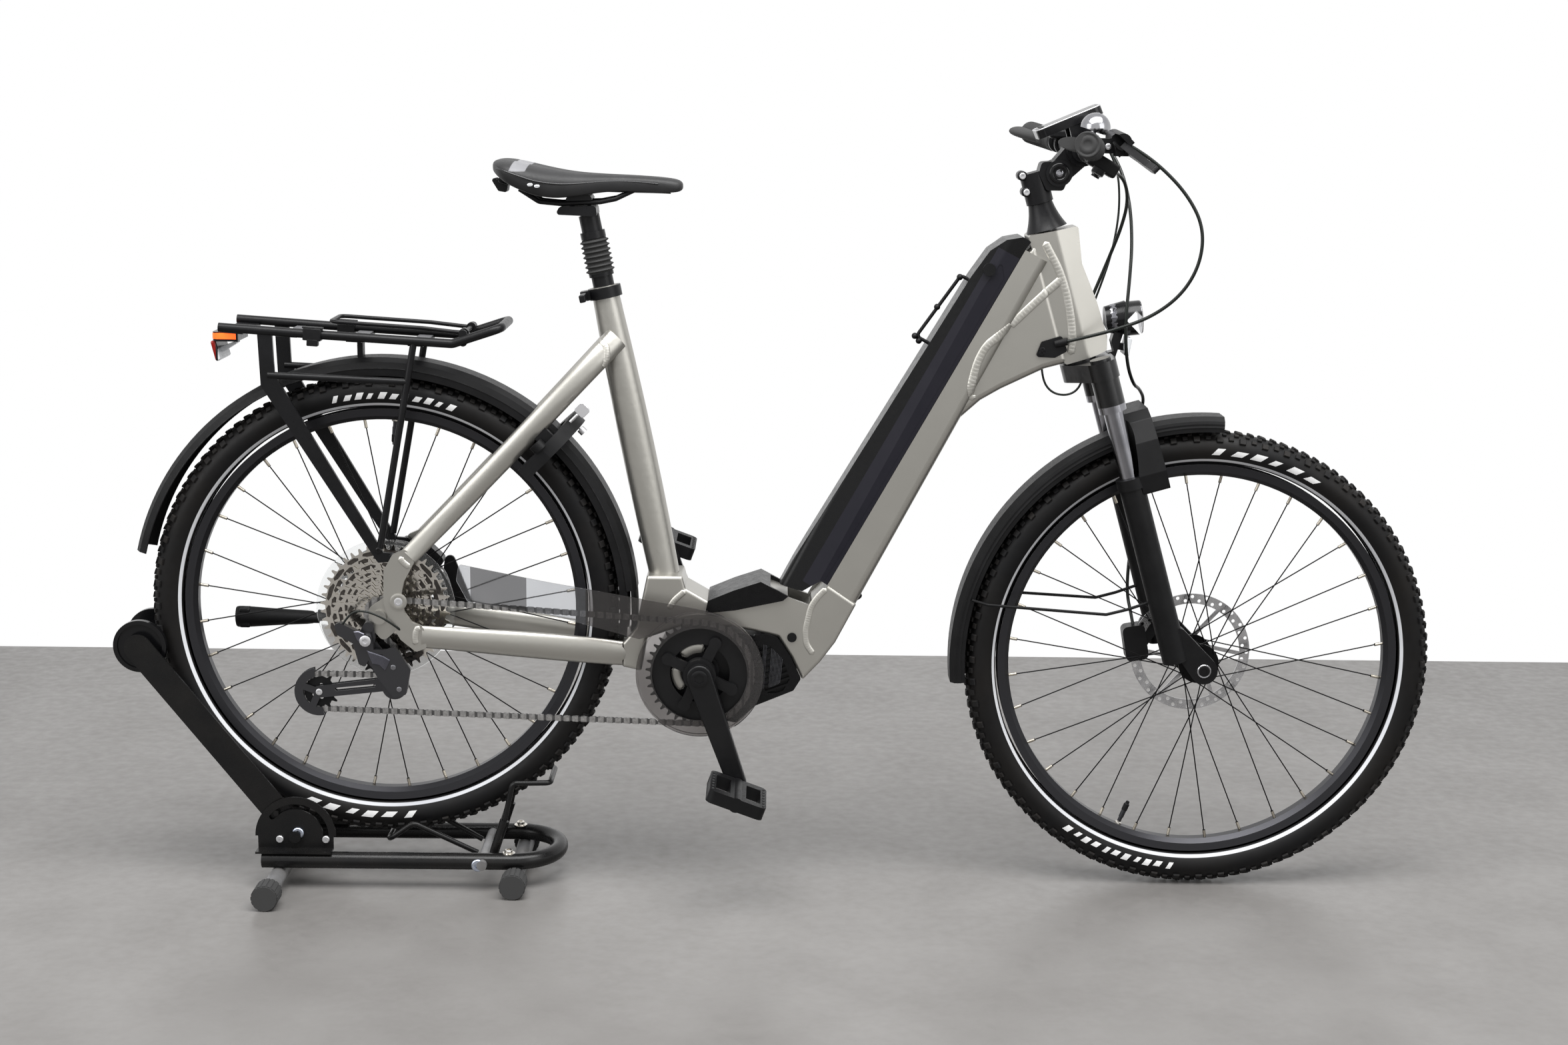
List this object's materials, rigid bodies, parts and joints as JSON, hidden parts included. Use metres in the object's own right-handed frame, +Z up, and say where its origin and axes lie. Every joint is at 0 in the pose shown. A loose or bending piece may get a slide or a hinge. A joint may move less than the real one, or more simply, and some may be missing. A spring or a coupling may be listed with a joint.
{
  "type": "bicycle on stand",
  "caption": "Electric-assist trekking bicycle with low step-through frame, suspension fork, rack and mudguards, parked with its rear wheel in a tubular display stand",
  "frame": {"origin": "on the floor under the middle of the whole", "axes": "+X to the front of the bicycle, +Y to its left, +Z up; chain on the -Y side"},
  "size_m": [1.952, 0.6626, 1.1621],
  "materials": {
    "stand_black": "gloss black stove enamel",
    "foot_rubber": "ribbed",
    "frame_silver": "satin metallic champagne silver",
    "black_gloss": "gloss",
    "black_matte": "fine grain",
    "black_alloy": "satin black anodised look",
    "graphite": "gloss graphite",
    "steel": "plain",
    "chain_grey": "oiled",
    "nickel": "satin nickel",
    "stanchion": "dark polished",
    "tyre": "black with a pale stripe",
    "rim_black": "black anodised",
    "saddle_black": "synthetic, fine grain",
    "rubber": "soft",
    "smoke": "smoked, see-through",
    "red_lens": "lens",
    "hose": "hose jacket"
  },
  "bodies": {
    "stand": {"stand_frame": "stand_black", "stand_cross_tubes": "stand_black", "stand_caps": "foot_rubber"},
    "swing_arm": {"swing_arms": "stand_black"},
    "spool": {"spool": "black_gloss"},
    "bike_frame": {"main_frame": "frame_silver", "rear_triangle": "frame_silver", "battery_pack": "black_matte", "frame_covers": "black_gloss", "drive_unit": "black_alloy", "frame_fittings": "black_matte", "chain_guard": "smoke", "ring_lock": "black_matte", "rear_mudguard": "black_matte", "rack": "black_alloy", "tail_light": "red_lens", "seatpost_outer": "black_alloy", "rear_caliper": "black_alloy", "derailleur": "graphite", "chain": "chain_grey", "shift_cable_tail": "hose", "rear_brake_hose": "hose", "shift_cable": "hose", "remote_lead": "hose", "light_lead": "hose"},
    "seat": {"post_inner": "black_alloy", "saddle_base": "black_matte", "saddle_cover": "saddle_black", "bellows": "rubber"},
    "kick_leg": {"kickstand_leg": "black_alloy"},
    "bail": {"rack_bail": "black_alloy"},
    "shackle": {"lock_shackle": "steel"},
    "steered": {"fork_uppers": "stanchion", "stem": "black_alloy", "handlebar": "black_alloy", "grips": "rubber", "bar_controls": "black_matte", "display": "black_gloss", "bell": "nickel", "headlight": "black_matte", "front_brake_hose": "hose"},
    "right_brake_lever": {"right_lever": "black_alloy"},
    "left_brake_lever": {"left_lever": "black_alloy"},
    "gear_paddle": {"shift_paddle": "black_matte"},
    "lowers": {"fork_lowers": "black_alloy", "front_mudguard": "black_matte", "front_caliper": "black_alloy"},
    "front_wheel": {"front_tyre": "tyre", "front_rim": "rim_black", "front_hub": "steel"},
    "rear_wheel": {"rear_tyre": "tyre", "rear_rim": "rim_black", "rear_hub": "steel"},
    "sprockets": {"cassette": "nickel"},
    "cranks": {"crankset": "black_alloy"},
    "pedal_right": {"right_pedal": "black_matte"},
    "pedal_left": {"left_pedal": "black_matte"},
    "pulley_cage": {"cage": "graphite"},
    "guide_wheel": {"guide_pulley": "black_matte"},
    "tension_wheel": {"tension_pulley": "black_matte"}
  },
  "joints": [
    {"name": "bike_lift", "type": "slide", "parent": "stand", "child": "bike_frame", "axis": [0, 0, 1], "range_m": [0, 0.25]},
    {"name": "swing_arm", "type": "hinge", "parent": "stand", "child": "swing_arm", "pos_m": [-0.712, 0, 0.076], "axis": [0, -1, 0], "range_deg": [0, 8]},
    {"name": "spool_spin", "type": "hinge", "parent": "swing_arm", "child": "spool", "pos_m": [-0.937, 0, 0.36], "axis": [0, 1, 0], "continuous": true},
    {"name": "steering", "type": "hinge", "parent": "bike_frame", "child": "steered", "pos_m": [0.438, 0, 0.798], "axis": [-0.2773, 0, 0.9608], "range_deg": [-50, 50], "deforming": ["rear_brake_hose", "shift_cable", "remote_lead", "light_lead"]},
    {"name": "fork_travel", "type": "slide", "parent": "steered", "child": "lowers", "axis": [-0.2773, 0, 0.9608], "range_m": [0, 0.06], "stiffness_N_per_m": 4000, "springref_m": -0.045, "deforming": ["front_brake_hose"]},
    {"name": "front_wheel_spin", "type": "hinge", "parent": "lowers", "child": "front_wheel", "pos_m": [0.628, 0, 0.348], "axis": [0, 1, 0], "continuous": true},
    {"name": "rear_wheel_spin", "type": "hinge", "parent": "bike_frame", "child": "rear_wheel", "pos_m": [-0.577, 0, 0.417], "axis": [0, 1, 0], "continuous": true},
    {"name": "crank_spin", "type": "hinge", "parent": "bike_frame", "child": "cranks", "pos_m": [-0.111, 0, 0.332], "axis": [0, 1, 0], "continuous": true, "deforming": ["chain"]},
    {"name": "sprocket_spin", "type": "hinge", "parent": "bike_frame", "child": "sprockets", "pos_m": [-0.577, 0, 0.417], "axis": [0, 1, 0], "continuous": true},
    {"name": "pulley_cage_swing", "type": "hinge", "parent": "bike_frame", "child": "pulley_cage", "pos_m": [-0.556, 0, 0.313], "axis": [0, 1, 0], "range_deg": [-4, 14], "stiffness_Nm_per_rad": 1.5, "deforming": ["chain"]},
    {"name": "guide_spin", "type": "hinge", "parent": "pulley_cage", "child": "guide_wheel", "pos_m": [-0.58, 0, 0.351], "axis": [0, 1, 0], "continuous": true},
    {"name": "tension_spin", "type": "hinge", "parent": "pulley_cage", "child": "tension_wheel", "pos_m": [-0.671, 0, 0.299], "axis": [0, 1, 0], "continuous": true},
    {"name": "right_pedal_spin", "type": "hinge", "parent": "cranks", "child": "pedal_right", "pos_m": [-0.05481, 0, 0.17155], "axis": [0, 1, 0], "continuous": true},
    {"name": "left_pedal_spin", "type": "hinge", "parent": "cranks", "child": "pedal_left", "pos_m": [-0.16719, 0, 0.49245], "axis": [0, 1, 0], "continuous": true},
    {"name": "seat_travel", "type": "slide", "parent": "bike_frame", "child": "seat", "axis": [0.2045, 0, -0.9789], "range_m": [0, 0.03], "stiffness_N_per_m": 12000, "springref_m": -0.005, "deforming": ["bellows"]},
    {"name": "kickstand_fold", "type": "hinge", "parent": "bike_frame", "child": "kick_leg", "pos_m": [-0.504, 0.104, 0.371], "axis": [0, -1, 0], "range_deg": [0, 95]},
    {"name": "bail_lift", "type": "hinge", "parent": "bike_frame", "child": "bail", "pos_m": [-0.452, 0, 0.829], "axis": [0, 1, 0], "range_deg": [0, 70], "stiffness_Nm_per_rad": 0.4, "springref_deg": -20.05},
    {"name": "lock_turn", "type": "hinge", "parent": "bike_frame", "child": "shackle", "pos_m": [-0.34083, 0, 0.65317], "axis": [0.7071, 0, -0.7071], "range_deg": [0, 118]},
    {"name": "right_brake", "type": "hinge", "parent": "steered", "child": "right_brake_lever", "pos_m": [0.4623, -0.204, 1.1058], "axis": [-0.7001, 0, -0.7141], "range_deg": [0, 16], "stiffness_Nm_per_rad": 1.5, "springref_deg": -5.73},
    {"name": "left_brake", "type": "hinge", "parent": "steered", "child": "left_brake_lever", "pos_m": [0.4623, 0.204, 1.1058], "axis": [0.7001, 0, 0.7141], "range_deg": [0, 16], "stiffness_Nm_per_rad": 1.5, "springref_deg": -5.73},
    {"name": "gear_shift", "type": "hinge", "parent": "steered", "child": "gear_paddle", "pos_m": [0.4384, -0.158, 1.0829], "axis": [0.5, 0, 0.866], "range_deg": [0, 14], "stiffness_Nm_per_rad": 0.5, "springref_deg": -5.73}
  ],
  "couplings": [
    {"joint": "sprocket_spin", "follows": "crank_spin", "ratio": 3.4545},
    {"joint": "tension_spin", "follows": "crank_spin", "ratio": 2.9231},
    {"joint": "guide_spin", "follows": "crank_spin", "ratio": -2.9231}
  ]
}
